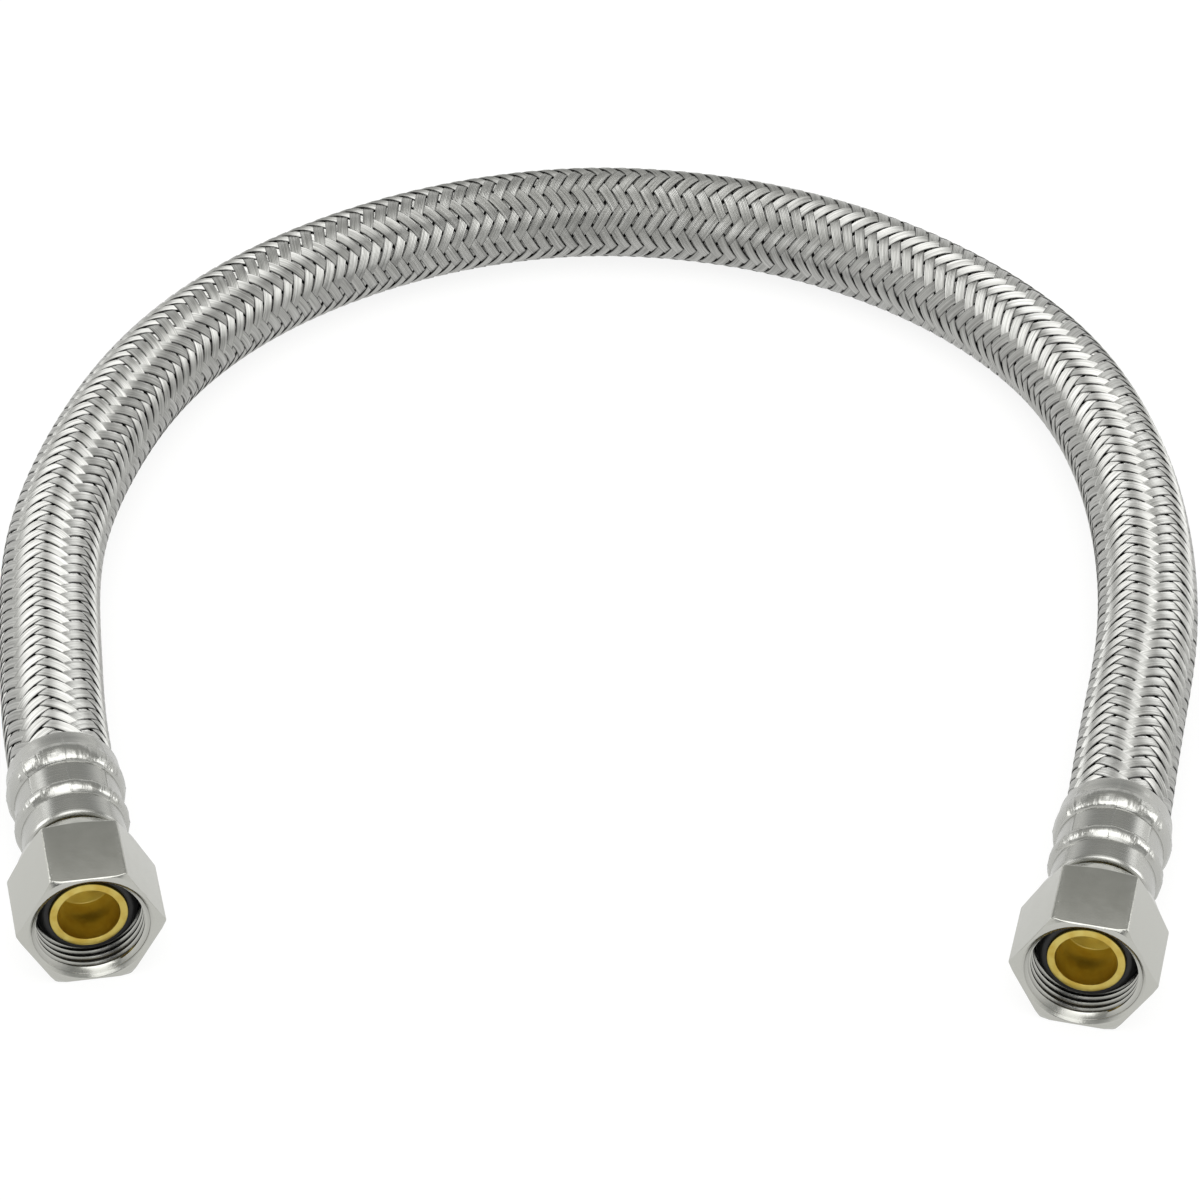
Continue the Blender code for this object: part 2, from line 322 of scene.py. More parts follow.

# %% [markdown]
# The braid is 24 flat ribbons of seven fine wires, twelve wound each way. Each ribbon goes over two
# of the others and under two, so the eye sees rows of chevrons. A texture could fake it, but the
# outline, the dark gaps and the way each ribbon dives under the next need real ribbons; the wire's
# material also paints each ribbon's edges dark, as painted shade in those gaps. The shape follows a
# rule, so Geometry Nodes wind them: a straight tube per ribbon is bent onto the hose's axis, and
# lifted or lowered by a wave of its place among the ribbons that it crosses.

# %% The braid's rule as a node tree
RIBBONS = 12
LEAD = 26.2 * MM
RIBBON_SHARE = 0.85
RIBBON_THICK = 0.24 * MM
LIFT = 0.15 * MM
WIRES = 7
WIRE_RELIEF = 0.07 * MM
BRAID_MID_R = HOSE_R - RIBBON_THICK / 2 - LIFT
STEPS_PER_CROSSING = 2.3

# Where the ribbons start round the hose, and how far they drift by its far end, in degrees
PHASE = 20.0
TWIST = -12.0

# The ferrules squeeze both ends of the hose, and let go of it over this length
BRAID_SQUEEZE = 0.85 * MM
BRAID_SQUEEZED_LENGTH = 9.5 * MM
RELEASE_LENGTH = 3.0 * MM

# How far a ribbon wanders in shares of its pitch, and in how many radians a crossing and a ribbon
WANDER_SHARE = 0.045
WANDER_RATE = 0.37
WANDER_START = 2.4

# Wires at a ribbon's edges lie lower, and its underside is a little narrower than its top
EDGE_DROP = 0.4 * MM
UNDER_WIDTH = 0.86
UNDER_EDGE = 0.93
WAVE_FLATTENING = 0.4
SMOOTH_TURN = math.radians(50)

weave = bpy.data.node_groups.new("wind_ribbons", "GeometryNodeTree")
TREE_INPUTS = [
    ("Route", "NodeSocketGeometry", None),
    ("Ribbons", "NodeSocketFloat", RIBBONS),
    ("First ribbon", "NodeSocketInt", 0),
    ("Ribbons made", "NodeSocketInt", RIBBONS // 2),
    ("Hand", "NodeSocketFloat", 1.0),
    ("Lead", "NodeSocketFloat", LEAD),
    ("Middle radius", "NodeSocketFloat", BRAID_MID_R),
    ("Lift", "NodeSocketFloat", LIFT),
    ("Share of pitch", "NodeSocketFloat", RIBBON_SHARE),
    ("Thickness", "NodeSocketFloat", RIBBON_THICK),
    ("Wires", "NodeSocketInt", WIRES),
    ("Wire relief", "NodeSocketFloat", WIRE_RELIEF),
    ("Steps per crossing", "NodeSocketFloat", STEPS_PER_CROSSING),
    ("Phase", "NodeSocketFloat", math.radians(PHASE)),
    ("Twist", "NodeSocketFloat", math.radians(TWIST)),
    ("Squeeze", "NodeSocketFloat", BRAID_SQUEEZE),
    ("Squeezed length", "NodeSocketFloat", BRAID_SQUEEZED_LENGTH),
    ("Material", "NodeSocketMaterial", None),
]
for name, kind, value in TREE_INPUTS:
    socket = weave.interface.new_socket(name, in_out="INPUT", socket_type=kind)
    if value is not None:
        socket.default_value = value
weave.interface.new_socket("Braid", in_out="OUTPUT", socket_type="NodeSocketGeometry")
given = add(weave, "NodeGroupInput").outputs

# A straight tube stands for one ribbon. It remembers how far along and around each point is
route_length = add(weave, "GeometryNodeCurveLength", {0: given["Route"]}).outputs[0]
NUMBER_SOCKETS = ("NodeSocketFloat", "NodeSocketInt")
values = {name: given[name] for name, kind, _ in TREE_INPUTS if kind in NUMBER_SOCKETS}
values["Route length"] = route_length


def work_out(steps):
    """Add one Math node for each named step. An input is an earlier name or a number."""
    for name, operation, *inputs in steps:
        sockets = {i: values[v] if isinstance(v, str) else v for i, v in enumerate(inputs)}
        values[name] = add(weave, "ShaderNodeMath", sockets, operation=operation).outputs[0]


work_out([
    ("Crossings a lead", "MULTIPLY", "Ribbons", 2.0),
    ("Leads", "DIVIDE", "Route length", "Lead"),
    ("Crossings", "MULTIPLY", "Leads", "Crossings a lead"),
    ("Rows", "MULTIPLY", "Crossings", "Steps per crossing"),
    ("Top points", "MULTIPLY_ADD", "Wires", 2.0, 1.0),
    ("Profile points", "ADD", "Top points", 2.0),
])
line = add(weave, "GeometryNodeCurvePrimitiveLine", {"End": (1.0, 0.0, 0.0)})
rows = add(weave, "GeometryNodeResampleCurve", {"Curve": line.outputs[0], "Count": values["Rows"]})
far = add(weave, "GeometryNodeSplineParameter")
keep_far = add(weave, "GeometryNodeCaptureAttribute", {"Geometry": rows.outputs[0]})
keep_far.capture_items.new("FLOAT", "Along")
weave.links.new(far.outputs["Factor"], keep_far.inputs["Along"])
circle = add(
    weave,
    "GeometryNodeCurvePrimitiveCircle",
    {"Resolution": values["Profile points"], "Radius": 0.01},
)
number = add(weave, "GeometryNodeInputIndex")
keep_number = add(weave, "GeometryNodeCaptureAttribute", {"Geometry": circle.outputs[0]})
keep_number.capture_items.new("FLOAT", "Around")
weave.links.new(number.outputs[0], keep_number.inputs["Around"])
tube = add(
    weave,
    "GeometryNodeCurveToMesh",
    {"Curve": keep_far.outputs[0], "Profile Curve": keep_number.outputs[0], "Fill Caps": True},
)
spots = add(weave, "GeometryNodePoints", {"Count": given["Ribbons made"]})
which = add(weave, "GeometryNodeInputIndex")
keep_which = add(weave, "GeometryNodeCaptureAttribute", {"Geometry": spots.outputs[0]})
keep_which.capture_items.new("FLOAT", "Ribbon")
weave.links.new(which.outputs[0], keep_which.inputs["Ribbon"])
copies = add(
    weave,
    "GeometryNodeInstanceOnPoints",
    {"Points": keep_which.outputs[0], "Instance": tube.outputs[0]},
)
ribbons = add(weave, "GeometryNodeRealizeInstances", {0: copies.outputs[0]})

# Across the profile the points go valley, wire, valley. The last two close it underneath
values["Along"] = keep_far.outputs["Along"]
values["Around"] = keep_number.outputs["Around"]
values["Ribbon"] = keep_which.outputs["Ribbon"]
work_out([
    ("Last top point", "SUBTRACT", "Top points", 1.0),
    ("Is under", "GREATER_THAN", "Around", "Last top point"),
    ("Top across", "DIVIDE", "Around", "Last top point"),
    ("Past top", "SUBTRACT", "Around", "Top points"),
    ("Under across", "MULTIPLY_ADD", "Past top", -UNDER_WIDTH, UNDER_EDGE),
    ("Under gap", "SUBTRACT", "Under across", "Top across"),
    ("Across", "MULTIPLY_ADD", "Is under", "Under gap", "Top across"),
    ("From middle", "SUBTRACT", 0.5, "Across"),
    ("Aside", "MULTIPLY", "From middle", "Share of pitch"),
    ("Is wire", "MODULO", "Around", 2.0),
    ("Is valley", "SUBTRACT", 1.0, "Is wire"),
    ("Valley drop", "MULTIPLY", "Is valley", "Wire relief"),
    ("Edge", "MULTIPLY", "From middle", "From middle"),
    ("Edge again", "MULTIPLY", "Edge", "Edge"),
    ("Edge drop", "MULTIPLY", "Edge again", EDGE_DROP),
    ("Half thick", "MULTIPLY", "Thickness", 0.5),
    ("Below valley", "SUBTRACT", "Half thick", "Valley drop"),
    ("Top height", "SUBTRACT", "Below valley", "Edge drop"),
    ("Under height", "MULTIPLY", "Thickness", -0.5),
    ("Height gap", "SUBTRACT", "Under height", "Top height"),
    ("Height", "MULTIPLY_ADD", "Is under", "Height gap", "Top height"),
])

# Ribbons are numbered by where they start round the hose. Own is this ribbon's number and Met the
# number of the one that it crosses, so their sum gives the angle and their difference the length.
# Each ribbon wanders a little to its sides, so the gaps aren't all alike
work_out([
    ("Own", "ADD", "Ribbon", "First ribbon"),
    ("Passed", "MULTIPLY", "Along", "Crossings"),
    ("Own start", "MULTIPLY", "Own", WANDER_START),
    ("Wander place", "MULTIPLY_ADD", "Passed", WANDER_RATE, "Own start"),
    ("Wander", "SINE", "Wander place"),
    ("Wandered aside", "MULTIPLY_ADD", "Wander", WANDER_SHARE, "Aside"),
    ("Own here", "ADD", "Own", "Wandered aside"),
    ("Passed this way", "MULTIPLY", "Passed", "Hand"),
    ("Met", "ADD", "Own", "Passed this way"),
    ("Both", "ADD", "Own here", "Met"),
    ("Half turn share", "DIVIDE", "Both", "Ribbons"),
    ("Bare angle", "MULTIPLY", "Half turn share", math.pi),
    ("Twist here", "MULTIPLY", "Along", "Twist"),
    ("Turned angle", "ADD", "Bare angle", "Twist here"),
    ("Angle", "ADD", "Turned angle", "Phase"),
    ("Apart", "SUBTRACT", "Met", "Own here"),
    ("Apart this way", "MULTIPLY", "Apart", "Hand"),
    ("Leads here", "DIVIDE", "Apart this way", "Crossings a lead"),
    ("Length here", "MULTIPLY", "Leads here", "Lead"),
    ("Crossing", "ADD", "Own", "Met"),
    ("Wave place", "MULTIPLY_ADD", "Crossing", math.pi / 2, -math.pi / 4),
    ("Wave", "COSINE", "Wave place"),
    ("Wave squared", "MULTIPLY", "Wave", "Wave"),
    ("Flattening", "MULTIPLY_ADD", "Wave squared", -WAVE_FLATTENING, 1 + WAVE_FLATTENING),
    ("Flat wave", "MULTIPLY", "Wave", "Flattening"),
    ("Flat wave this way", "MULTIPLY", "Flat wave", "Hand"),
    ("Raised", "MULTIPLY_ADD", "Flat wave this way", "Lift", "Height"),
    ("From far end", "SUBTRACT", "Route length", "Length here"),
    ("From nearer end", "MINIMUM", "Length here", "From far end"),
    ("Past squeeze", "SUBTRACT", "From nearer end", "Squeezed length"),
    ("Released", "MULTIPLY", "Past squeeze", 1 / RELEASE_LENGTH),
    ("Released most", "MINIMUM", "Released", 1.0),
    ("Released share", "MAXIMUM", "Released most", 0.0),
    ("Still squeezed", "SUBTRACT", 1.0, "Released share"),
    ("Squeezed by", "MULTIPLY", "Still squeezed", "Squeeze"),
    ("Free radius", "ADD", "Middle radius", "Raised"),
    ("Radius", "SUBTRACT", "Free radius", "Squeezed by"),
    ("Cosine", "COSINE", "Angle"),
    ("Sine", "SINE", "Angle"),
    ("To the side", "MULTIPLY", "Radius", "Cosine"),
    ("To the top", "MULTIPLY", "Radius", "Sine"),
])

# %% [markdown]
# The last nodes of the tree read the hose's axis at each point's length, and set the point beside
# and above it. They also store where each point is on its ribbon, for the wire's material.

# %% Bend the ribbons onto the axis
axis = add(
    weave,
    "GeometryNodeSampleCurve",
    {"Curves": given["Route"], "Length": values["Length here"]},
    mode="LENGTH",
)
beside = add(
    weave,
    "ShaderNodeVectorMath",
    {0: axis.outputs["Tangent"], 1: (0.0, 0.0, 1.0)},
    operation="CROSS_PRODUCT",
)
side = add(weave, "ShaderNodeVectorMath", {0: beside.outputs[0]}, operation="NORMALIZE")
above = add(
    weave,
    "ShaderNodeVectorMath",
    {0: side.outputs[0], 1: axis.outputs["Tangent"]},
    operation="CROSS_PRODUCT",
)
sideways = add(
    weave,
    "ShaderNodeVectorMath",
    {"Vector": side.outputs[0], "Scale": values["To the side"]},
    operation="SCALE",
)
upwards = add(
    weave,
    "ShaderNodeVectorMath",
    {"Vector": above.outputs[0], "Scale": values["To the top"]},
    operation="SCALE",
)
out_from_axis = add(
    weave, "ShaderNodeVectorMath", {0: sideways.outputs[0], 1: upwards.outputs[0]}, operation="ADD"
)
final_place = add(
    weave,
    "ShaderNodeVectorMath",
    {0: out_from_axis.outputs[0], 1: axis.outputs["Position"]},
    operation="ADD",
)
bent = add(
    weave,
    "GeometryNodeSetPosition",
    {"Geometry": ribbons.outputs[0], "Position": final_place.outputs[0]},
)
on_ribbon = add(
    weave,
    "ShaderNodeCombineXYZ",
    {"X": values["Length here"], "Y": values["Across"], "Z": values["Own"]},
)
marked = add(
    weave,
    "GeometryNodeStoreNamedAttribute",
    {"Geometry": bent.outputs[0], "Name": "on_ribbon", "Value": on_ribbon.outputs[0]},
    data_type="FLOAT_VECTOR",
    domain="POINT",
)
turn = add(weave, "GeometryNodeInputMeshEdgeAngle")
is_soft = add(
    weave,
    "ShaderNodeMath",
    {0: turn.outputs["Unsigned Angle"], 1: SMOOTH_TURN},
    operation="LESS_THAN",
)
smooth = add(
    weave,
    "GeometryNodeSetShadeSmooth",
    {"Geometry": marked.outputs[0], "Shade Smooth": is_soft.outputs[0]},
    domain="EDGE",
)
whole = add(weave, "GeometryNodeRealizeInstances", {0: smooth.outputs[0]})
dressed = add(
    weave, "GeometryNodeSetMaterial", {"Geometry": whole.outputs[0], "Material": given["Material"]}
)
add(weave, "NodeGroupOutput", {0: dressed.outputs[0]})
print("braid tree:", len(weave.nodes), "nodes")

# %% [markdown]
# Stainless steel wire, 304 grade, drawn bright. Drawing leaves fine scratches along each wire, so the
# light runs in streaks along the ribbons, and the grooves between wires look dark. The colour streaks
# are stretched along the ribbon: about 4 mm long and a wire wide. Each ribbon's outer edges are
# painted almost black, as painted shade in the gaps between ribbons.

# %% Drawn stainless wire
def principled(name, colour, metallic, roughness):
    """Start a material with a Principled shader, whose constants are set on its own sockets."""
    material = bpy.data.materials.new(name)
    material.use_nodes = True
    shader = material.node_tree.nodes["Principled BSDF"]
    shader.inputs["Base Color"].default_value = linear(colour)
    shader.inputs["Metallic"].default_value = metallic
    shader.inputs["Roughness"].default_value = roughness
    return material, material.node_tree, shader


wire, tree, shader = principled("drawn_stainless_wire", "#B8B8B5", 1.0, 0.36)
place_on_ribbon = add(tree, "ShaderNodeAttribute", attribute_name="on_ribbon")
on_parts = add(tree, "ShaderNodeSeparateXYZ", {0: place_on_ribbon.outputs["Vector"]})
from_centre = add(tree, "ShaderNodeMath", {0: on_parts.outputs["Y"], 1: 0.5}, operation="SUBTRACT")
to_edge = add(tree, "ShaderNodeMath", {0: from_centre.outputs[0]}, operation="ABSOLUTE")
# Painted shade: this mask paints each ribbon's outer edges almost black, for the gaps between ribbons
edge_shade_mask = add(
    tree, "ShaderNodeMapRange", {"Value": to_edge.outputs[0], "From Min": 0.42, "From Max": 0.5}
)
STREAK_LENGTH = 4 * MM
BETWEEN_RIBBONS = 3.7
stretch = add(
    tree,
    "ShaderNodeVectorMath",
    {0: place_on_ribbon.outputs["Vector"], 1: (1 / STREAK_LENGTH, WIRES, BETWEEN_RIBBONS)},
    operation="MULTIPLY",
)
streaks = add(tree, "ShaderNodeTexNoise", {"Vector": stretch.outputs[0], "Scale": 1.0, "Detail": 3.0})
streak_colours = add(tree, "ShaderNodeValToRGB", {0: streaks.outputs["Fac"]})
set_stops(streak_colours.color_ramp, [(0.3, "#9E9E9B"), (0.7, "#CECECB")])
# The wire's streaked colour, with the painted edge shade mixed in
streaks_and_edge_shade = add(
    tree,
    "ShaderNodeMix",
    {0: edge_shade_mask.outputs[0], 6: streak_colours.outputs[0], 7: linear("#19191A")},
    data_type="RGBA",
)
tree.links.new(streaks_and_edge_shade.outputs[2], shader.inputs["Base Color"])

# %% Wind the braid
route_curve = bpy.data.curves.new("hose_axis", "CURVE")
route_curve.dimensions = "3D"
spline = route_curve.splines.new("POLY")
spline.points.add(len(hose_axis) - 1)
for point, at in zip(spline.points, hose_axis):
    point.co = (*at, 1.0)


def braid_piece(name, hand, first):
    """Wind half of the ribbons of one hand, as one plain mesh."""
    guide = bpy.data.objects.new(name + "_guide", route_curve)
    scene.collection.objects.link(guide)
    modifier = guide.modifiers.new("braid", "NODES")
    modifier.node_group = weave
    chosen = {"Hand": hand, "First ribbon": first, "Material": wire}
    for item in weave.interface.items_tree:
        if item.in_out == "INPUT" and item.name in chosen:
            modifier[item.identifier] = chosen[item.name]
    graph = bpy.context.evaluated_depsgraph_get()
    mesh = bpy.data.meshes.new_from_object(guide.evaluated_get(graph), depsgraph=graph)
    mesh.name = name
    bpy.data.objects.remove(guide)
    piece = bpy.data.objects.new(name, mesh)
    scene.collection.objects.link(piece)
    print(name, len(mesh.polygons), "faces")
    return piece


braids = [
    braid_piece(f"braid_{hand_name}_{half + 1}", hand, half * RIBBONS // 2)
    for hand_name, hand in (("clockwise", 1.0), ("counter", -1.0))
    for half in (0, 1)
]

# %% [markdown]
# Under the braid runs a black rubber tube. It shows only through the small gaps between ribbons,
# where it makes them dark. A plain smooth tube with a matt skin is enough for that, but it has its
# real wall and bore, and it narrows where the ferrules squeeze the hose.

# %% Ring helpers
def remember_place(mesh, matrix):
    """Store each point's place on its fitting, and the way round the axis there."""
    places = np.empty(len(mesh.vertices) * 3, np.float32)
    mesh.vertices.foreach_get("co", places)
    way = np.zeros((len(mesh.vertices), 3))
    way[:, 1] = -places[2::3]
    way[:, 2] = places[1::3]
    way /= np.maximum(np.linalg.norm(way, axis=1), 1e-9)[:, None]
    way = way @ np.array(matrix.to_3x3()).T
    for name, values in (("on_fitting", places), ("way_round", way.ravel())):
        mesh.attributes.new(name, "FLOAT_VECTOR", "POINT").data.foreach_set("vector", values)


SHARP_TURN = math.radians(32)


def set_in_place(name, mesh, matrix, material):
    """Turn a mesh made along a fitting's axis into a finished piece in its place."""
    remember_place(mesh, matrix)
    mesh.transform(matrix)
    mesh.shade_smooth()
    mesh.set_sharp_from_angle(angle=SHARP_TURN)
    mesh.materials.append(material)
    piece = bpy.data.objects.new(name, mesh)
    scene.collection.objects.link(piece)
    return piece


def skin(name, rings, matrix, material):
    """Skin a closed loop of equal rings into one mesh in place."""
    size = len(rings[0])
    points = np.array(rings, float).reshape(-1, 3)
    starts = [i * size for i in range(len(rings))]
    faces = [
        (near + j, near + (j + 1) % size, far + (j + 1) % size, far + j)
        for near, far in zip(starts, starts[1:] + starts[:1])
        for j in range(size)
    ]
    mesh = bpy.data.meshes.new(name)
    mesh.from_pydata(points.tolist(), [], faces)
    bm = bmesh.new()
    bm.from_mesh(mesh)
    bmesh.ops.remove_doubles(bm, verts=bm.verts, dist=1e-7)
    bmesh.ops.recalc_face_normals(bm, faces=bm.faces)
    bm.to_mesh(mesh)
    bm.free()
    return set_in_place(name, mesh, matrix, material)


def softened(corners, steps=4):
    """Round each corner of a closed outline. A corner is (depth, radius, rounding)."""
    outline = []
    for i, (s, r, rounding) in enumerate(corners):
        here = np.array([s, r])
        if rounding == 0.0:
            outline.append(here)
            continue
        before = np.array(corners[i - 1][:2]) - here
        after = np.array(corners[(i + 1) % len(corners)][:2]) - here
        reach_before = min(rounding / max(np.linalg.norm(before), 1e-9), 0.49)
        reach_after = min(rounding / max(np.linalg.norm(after), 1e-9), 0.49)
        for t in np.linspace(0.0, 1.0, steps):
            bow = (1 - t) ** 2 * reach_before * before + t**2 * reach_after * after
            outline.append(here + bow)
    return outline


TURN_STEPS = 96
EVEN_TURN = [2 * math.pi * i / TURN_STEPS for i in range(TURN_STEPS)]


def turned(name, outline, matrix, material):
    """Turn a closed outline of (depth, radius) about a fitting's axis."""
    rings = [[(-s, r * math.cos(a), r * math.sin(a)) for a in EVEN_TURN] for s, r in outline]
    return skin(name, rings, matrix, material)


# %% Rubber
def rubber(name, colour, roughness, grain_mm):
    """Matt moulded or extruded rubber: almost black, with a faint grain and paler bloom."""
    material, tree, shader = principled(name, colour, 0.0, roughness)
    coords = add(tree, "ShaderNodeTexCoord")
    grain = add(
        tree,
        "ShaderNodeTexNoise",
        {"Vector": coords.outputs["Object"], "Scale": 1 / (grain_mm * MM), "Detail": 4.0},
    )
    bloom = add(tree, "ShaderNodeValToRGB", {0: grain.outputs["Fac"]})
    set_stops(bloom.color_ramp, [(0.0, colour), (1.0, "#2A2A2B")])
    bump = add(
        tree,
        "ShaderNodeBump",
        {"Height": grain.outputs["Fac"], "Strength": 0.25, "Distance": 0.05 * MM},
    )
    tree.links.new(bloom.outputs[0], shader.inputs["Base Color"])
    tree.links.new(bump.outputs[0], shader.inputs["Normal"])
    return material


tube_rubber = rubber("extruded_black_rubber", "#0C0C0D", 0.7, 0.4)
gasket_rubber = rubber("moulded_black_rubber", "#0A0A0B", 0.5, 0.6)

# %% Inner tube
TUBE_R = 5.75 * MM
TUBE_BORE_R = 4.3 * MM
TUBE_SQUEEZE = 0.9 * MM
TUBE_SIDES = 32
TUBE_SQUEEZED_LENGTH = 10.0 * MM
TUBE_STEP = 3
steps_between = [(b - a).length for a, b in zip(hose_axis, hose_axis[1:])]
lengths = np.concatenate([[0.0], np.cumsum(steps_between)])
turns = [2 * math.pi * k / TUBE_SIDES for k in range(TUBE_SIDES)]
last = len(hose_axis) - 1
tube_rings = {"outer": [], "inner": []}
for i in list(range(0, last, TUBE_STEP)) + [last]:
    way = (hose_axis[min(i + 1, last)] - hose_axis[max(i - 1, 0)]).normalized()
    beside = way.cross(Vector((0, 0, 1))).normalized()
    above = beside.cross(way)
    from_end = float(min(lengths[i], lengths[-1] - lengths[i]))
    still_squeezed = (TUBE_SQUEEZED_LENGTH - from_end) / RELEASE_LENGTH + 1
    squeezed = TUBE_SQUEEZE * min(max(still_squeezed, 0.0), 1.0)
    outwards = [math.cos(a) * beside + math.sin(a) * above for a in turns]
    for wall, radius in (("outer", TUBE_R - squeezed), ("inner", TUBE_BORE_R)):
        tube_rings[wall].append([list(hose_axis[i] + radius * way_out) for way_out in outwards])
rings = tube_rings["outer"] + tube_rings["inner"][::-1]
tube_skin = skin("inner_tube_skin", rings, Matrix.Identity(4), tube_rubber)
print("inner tube:", len(tube_skin.data.polygons), "faces")

# %% [markdown]
# The nut is brass bar, machined and nickel plated. Its six flats meet in corners that a cone cuts
# at both ends, and its mouth has a polished lead-in before the thread. The corners are rounded by
# the plating, which is what makes them glint. The body is built ring by ring, because each ring's
# radius is a rule of the angle. The thread is a ridge of its own, wound at the true pitch.

# %% Nickel plate
def fitting_place(tree):
    """Give the place on the fitting: depth from the mouth, and distance from the axis."""
    place = add(tree, "ShaderNodeAttribute", attribute_name="on_fitting")
    split = add(tree, "ShaderNodeSeparateXYZ", {0: place.outputs["Vector"]})
    across = add(tree, "ShaderNodeCombineXYZ", {"Y": split.outputs["Y"], "Z": split.outputs["Z"]})
    radius = add(tree, "ShaderNodeVectorMath", {0: across.outputs[0]}, operation="LENGTH")
    return place.outputs["Vector"], split.outputs["X"], radius.outputs["Value"]


NICKEL = "#C4C4BE"
nickel, tree, shader = principled("satin_nickel_plate", NICKEL, 1.0, 0.2)
place, depth, radius = fitting_place(tree)
cloud = add(tree, "ShaderNodeTexNoise", {"Vector": place, "Scale": 1 / (1.6 * MM), "Detail": 5.0})
cloud_roughness = add(
    tree, "ShaderNodeMapRange", {"Value": cloud.outputs["Fac"], "To Min": 0.14, "To Max": 0.3}
)
peel = add(tree, "ShaderNodeTexNoise", {"Vector": place, "Scale": 1 / (0.35 * MM), "Detail": 3.0})
pits = add(tree, "ShaderNodeTexVoronoi", {"Vector": place, "Scale": 1 / (1.1 * MM)}, feature="F1")
pit_shape = add(
    tree,
    "ShaderNodeMapRange",
    {"Value": pits.outputs["Distance"], "From Min": 0.02, "From Max": 0.09},
)
peel_bump = add(
    tree, "ShaderNodeBump", {"Height": peel.outputs["Fac"], "Strength": 0.25, "Distance": 0.03 * MM}
)
pit_bump = add(
    tree,
    "ShaderNodeBump",
    {
        "Height": pit_shape.outputs[0],
        "Strength": 0.5,
        "Distance": 0.02 * MM,
        "Normal": peel_bump.outputs[0],
    },
)

# Handling has left the corners with tiny nicks, so they glint in dots
nicks = add(tree, "ShaderNodeTexNoise", {"Vector": place, "Scale": 1 / (0.22 * MM), "Detail": 2.0})
CORNER_START_R, CORNER_FULL_R = 8.8 * MM, 9.0 * MM
at_corner = add(
    tree,
    "ShaderNodeMapRange",
    {"Value": radius, "From Min": CORNER_START_R, "From Max": CORNER_FULL_R},
)
nick_shape = add(
    tree, "ShaderNodeMath", {0: nicks.outputs["Fac"], 1: at_corner.outputs[0]}, operation="MULTIPLY"
)
nick_bump = add(
    tree,
    "ShaderNodeBump",
    {
        "Height": nick_shape.outputs[0],
        "Strength": 0.7,
        "Distance": 0.06 * MM,
        "Normal": pit_bump.outputs[0],
    },
)

# Painted shade: inside the socket the thread's roots are painted dark, and less so in the first
# groove
ROOT_SHADE_START_R, ROOT_SHADE_FULL_R, ROOT_SHADE_END_R = 6.62 * MM, 7.0 * MM, 7.25 * MM
ROOT_SHADE_START, ROOT_SHADE_FULL, ROOT_SHADE_END = -0.9 * MM, -2.0 * MM, -11.0 * MM
root = add(
    tree,
    "ShaderNodeMapRange",
    {"Value": radius, "From Min": ROOT_SHADE_START_R, "From Max": ROOT_SHADE_FULL_R, "To Max": 0.93},
)
in_bore = add(tree, "ShaderNodeMath", {0: radius, 1: ROOT_SHADE_END_R}, operation="LESS_THAN")
in_socket = add(tree, "ShaderNodeMath", {0: depth, 1: ROOT_SHADE_END}, operation="GREATER_THAN")
painted_root_shade = add(
    tree, "ShaderNodeMath", {0: root.outputs[0], 1: in_bore.outputs[0]}, operation="MULTIPLY"
)
past_mouth = add(
    tree,
    "ShaderNodeMapRange",
    {"Value": depth, "From Min": ROOT_SHADE_START, "From Max": ROOT_SHADE_FULL, "To Min": 0.15},
)
shade_along_socket = add(
    tree,
    "ShaderNodeMath",
    {0: in_socket.outputs[0], 1: past_mouth.outputs[0]},
    operation="MULTIPLY",
)
painted_thread_shade = add(
    tree, "ShaderNodeMath", {0: painted_root_shade.outputs[0], 1: shade_along_socket.outputs[0]}, operation="MULTIPLY"
)
# The plate's colour goes almost black where the painted shade in the thread's roots lies
plate_with_thread_shade = add(
    tree,
    "ShaderNodeMix",
    {0: painted_thread_shade.outputs[0], 6: linear(NICKEL), 7: linear("#18181A")},
    data_type="RGBA",
)
tree.links.new(plate_with_thread_shade.outputs[2], shader.inputs["Base Color"])
tree.links.new(cloud_roughness.outputs[0], shader.inputs["Roughness"])
tree.links.new(nick_bump.outputs[0], shader.inputs["Normal"])

# %% Nut body
NUT_LENGTH = 13.0 * MM
MOUTH_R = 7.62 * MM
MOUTH_CHAMFER = 0.38 * MM
THREAD_ROOT_R = 7.14 * MM
THREAD_CREST_R = 6.58 * MM
SOCKET_DEPTH = 10.4 * MM
CONE_R = 8.4 * MM
FLATS_END = 10.9 * MM
SHOULDER_END = 12.2 * MM
SHOULDER_R = 7.62 * MM
BACK_R = 7.1 * MM
BACK_HOLE_R = 4.9 * MM
CORNER_ROUND = 0.5 * MM
CONE_SLOPE = math.tan(math.radians(30))
BACK_CONE_SLOPE = math.tan(math.radians(17))
EDGE = 0.14 * MM

corner_reach = NUT_FLATS / 2 / math.cos(math.pi / 6)
round_centre = corner_reach - CORNER_ROUND / math.cos(math.pi / 6)
round_half = math.atan2(CORNER_ROUND / 2, round_centre + CORNER_ROUND * math.cos(math.pi / 6))


def hexagon(angle):
    """Radius of the hexagon, which has rounded corners level with its axis."""
    from_corner = (angle + math.pi / 6) % (math.pi / 3) - math.pi / 6
    if abs(from_corner) < round_half:
        aside = round_centre * math.sin(from_corner)
        return round_centre * math.cos(from_corner) + math.sqrt(CORNER_ROUND**2 - aside**2)
    return NUT_FLATS / 2 / math.cos(math.pi / 6 - abs(from_corner))


def marked_turn(marks, half_width, near_steps, between_steps):
    """Angles for one turn, close together at each of the evenly spaced marks."""
    share = 2 * math.pi / marks
    angles = []
    for mark in range(marks):
        centre = mark * share
        angles += list(np.linspace(centre - half_width, centre + half_width, near_steps))
        rest = np.linspace(centre + half_width, centre + share - half_width, between_steps + 2)
        angles += list(rest[1:-1])
    return angles


